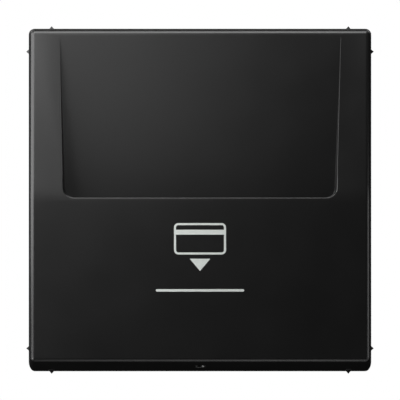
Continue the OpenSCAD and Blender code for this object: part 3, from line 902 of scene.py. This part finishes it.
@dataclass(frozen=True)
class SoftBox:
    """A rectangular studio lamp that looks at one point of the object; a narrow spread makes it a gridded spot.

    Lengths are in metres.
    """

    name: str
    place: tuple[float, float, float]
    aim: tuple[float, float, float]
    width: float
    height: float
    watts: float
    spread_deg: float = 180.0

    def build(self) -> None:
        """Hangs the lamp and turns it to its aim."""
        lamp = bpy.data.lights.new(self.name, "AREA")
        lamp.shape = "RECTANGLE"
        lamp.size = self.width
        lamp.size_y = self.height
        lamp.energy = self.watts
        lamp.spread = math.radians(self.spread_deg)
        holder = bpy.data.objects.new(self.name, lamp)
        holder.location = self.place
        holder.rotation_euler = (Vector(self.aim) - Vector(self.place)).to_track_quat("-Z", "Y").to_euler()
        holder.visible_camera = False
        bpy.context.scene.collection.objects.link(holder)
        LOG.info("hung %s", self.name)


@dataclass
class Studio:
    """The camera on a long lens, the lamps, the white backdrop and the pale floor.

    Lengths are in metres, apart from the sensor's width in millimetres.
    """

    distance: float = 3.8
    frame_width: float = 0.0818
    sensor: float = 36.0
    near_clip: float = 0.1
    far_clip: float = 100.0
    aim: tuple[float, float, float] = (0.0, -0.012, 0.0)
    insert: tuple[float, float, float] = (0.0, 0.018, -0.004)
    floor_z: float = -0.7
    floor_r: float = 0.25
    floor_t: float = 0.004
    floor_sides: int = 96
    floor_colour: str = "#eeeeec"
    floor_roughness: float = 0.8
    room_dark: str = "#080808"
    room_light: str = "#5e5e5e"
    backdrop_colour: str = "#ffffff"
    backdrop_deg: float = 1.2
    grid_side: float = 0.03
    grid_watts: float = 0.003
    grid_deg: float = 11.0

    def build(self) -> None:
        """Sets up the camera, the light and the floor."""
        self.camera()
        self.backdrop()
        self.floor()
        for box in self.lamps():
            box.build()
        bpy.context.scene.view_settings.view_transform = "Standard"

    def lamps(self) -> list[SoftBox]:
        """Gives the lamps, which stand near the cover and are weak.

        Returns:
            A key at the left, two fills, two strips above, rims at the right and below, two soft boxes behind,
            and two gridded spots that light only the insert.
        """
        grid = (self.insert, self.grid_side, self.grid_side, self.grid_watts, self.grid_deg)
        return [
            SoftBox("key_left", (-0.08, -0.05, 0.03), self.aim, 0.10, 0.10, 0.1269),
            SoftBox("fill_above_left", (-0.03, -0.07, 0.07), self.aim, 0.06, 0.06, 0.0131),
            SoftBox("fill_front", (-0.02, -0.13, 0.03), self.aim, 0.04, 0.04, 0.0058),
            SoftBox("strip_above", (0.0, -0.025, 0.07), self.aim, 0.10, 0.02, 0.0299),
            SoftBox("strip_above_front", (0.0, -0.035, 0.065), self.aim, 0.10, 0.02, 0.0094),
            SoftBox("rim_right", (0.12, -0.05, -0.02), self.aim, 0.05, 0.08, 0.0221),
            SoftBox("rim_lower_left", (-0.12, -0.08, -0.07), self.aim, 0.06, 0.06, 0.0858),
            SoftBox("rim_lower_right", (0.045, -0.05, -0.12), self.aim, 0.06, 0.06, 0.0075),
            SoftBox("rim_lower_corner", (0.09, -0.05, -0.09), self.aim, 0.05, 0.05, 0.0070),
            SoftBox("rim_below", (0.0, -0.05, -0.12), self.aim, 0.06, 0.06, 0.0105),
            SoftBox("back_left", (-0.25, 0.34, 0.30), self.aim, 0.30, 0.30, 0.35),
            SoftBox("back_right", (0.30, 0.45, 0.35), self.aim, 0.30, 0.30, 0.30),
            SoftBox("grid_back_left", (-0.15, 0.20, 0.12), *grid),
            SoftBox("grid_back_right", (0.15, 0.20, 0.12), *grid),
        ]

    def camera(self) -> None:
        """Places the camera straight in front, so that the cover's back edge fills the photograph's share."""
        lens = bpy.data.cameras.new("front_camera")
        lens.sensor_width = self.sensor
        lens.lens = self.sensor * self.distance / self.frame_width
        lens.clip_start = self.near_clip
        lens.clip_end = self.far_clip
        holder = bpy.data.objects.new("front_camera", lens)
        holder.location = (0, -self.distance, 0)
        holder.rotation_euler = (math.radians(90), 0, 0)
        bpy.context.scene.collection.objects.link(holder)
        bpy.context.scene.camera = holder

    def backdrop(self) -> None:
        """Makes the world: white to the camera, to gloss a white card behind the object in a room lit from above."""
        world = bpy.data.worlds.new("white_backdrop")
        world.use_nodes = True
        tree = world.node_tree
        tree.nodes.clear()
        ray = add_node(tree, "ShaderNodeLightPath")
        look = add_node(tree, "ShaderNodeTexCoord").outputs["Generated"]
        place = add_node(tree, "ShaderNodeSeparateXYZ", {"Vector": look})
        edge = math.cos(math.radians(self.backdrop_deg))
        card = add_node(tree, "ShaderNodeMapRange", {"Value": place.outputs["Y"], "From Min": edge, "From Max": 1.0})
        above = add_node(tree, "ShaderNodeMapRange", {"Value": place.outputs["Z"], "From Min": 0.0, "From Max": 1.0})
        room = add_node(tree, "ShaderNodeMix", {"Factor": above.outputs["Result"], "A": linear(self.room_dark),
                                                "B": linear(self.room_light)}, data_type="RGBA")
        mirrored = add_node(tree, "ShaderNodeMath", {0: ray.outputs["Is Glossy Ray"],
                                                     1: ray.outputs["Is Transmission Ray"]}, operation="MAXIMUM")
        shown = add_node(tree, "ShaderNodeMath", {0: mirrored.outputs[0], 1: card.outputs["Result"]},
                         operation="MULTIPLY")
        white = add_node(tree, "ShaderNodeMath", {0: ray.outputs["Is Camera Ray"], 1: shown.outputs[0]},
                         operation="MAXIMUM")
        colour = add_node(tree, "ShaderNodeMix", {"Factor": white.outputs[0], "A": room.outputs["Result"],
                                                  "B": linear(self.backdrop_colour)}, data_type="RGBA")
        light = add_node(tree, "ShaderNodeBackground", {"Color": colour.outputs["Result"], "Strength": 1.0})
        out = add_node(tree, "ShaderNodeOutputWorld")
        tree.links.new(light.outputs["Background"], out.inputs["Surface"])
        bpy.context.scene.world = world

    def floor(self) -> None:
        """Lays a small round pale floor below the camera's view."""
        bm = bmesh.new()
        middle = Matrix.Translation((0, 0, self.floor_z - self.floor_t / 2))
        bmesh.ops.create_cone(bm, cap_ends=True, segments=self.floor_sides, radius1=self.floor_r,
                              radius2=self.floor_r, depth=self.floor_t, matrix=middle)
        mesh = bpy.data.meshes.new("pale_floor")
        bm.to_mesh(mesh)
        bm.free()
        material, tree, out = new_material("pale_matt_floor_paint")
        shader = add_node(tree, "ShaderNodeBsdfPrincipled",
                          {"Base Color": linear(self.floor_colour), "Roughness": self.floor_roughness})
        tree.links.new(shader.outputs["BSDF"], out.inputs["Surface"])
        mesh.materials.append(material)
        floor = bpy.data.objects.new("pale_floor", mesh)
        bpy.context.scene.collection.objects.link(floor)


def main() -> None:
    """Builds the studio and each sub-assembly in order."""
    logging.basicConfig(level=logging.INFO, format="%(message)s")
    Studio().build()
    CoverAssembly().build()
    SwitchMechanism().build()
    WallInsert().build()


if __name__ == "__main__":
    main()
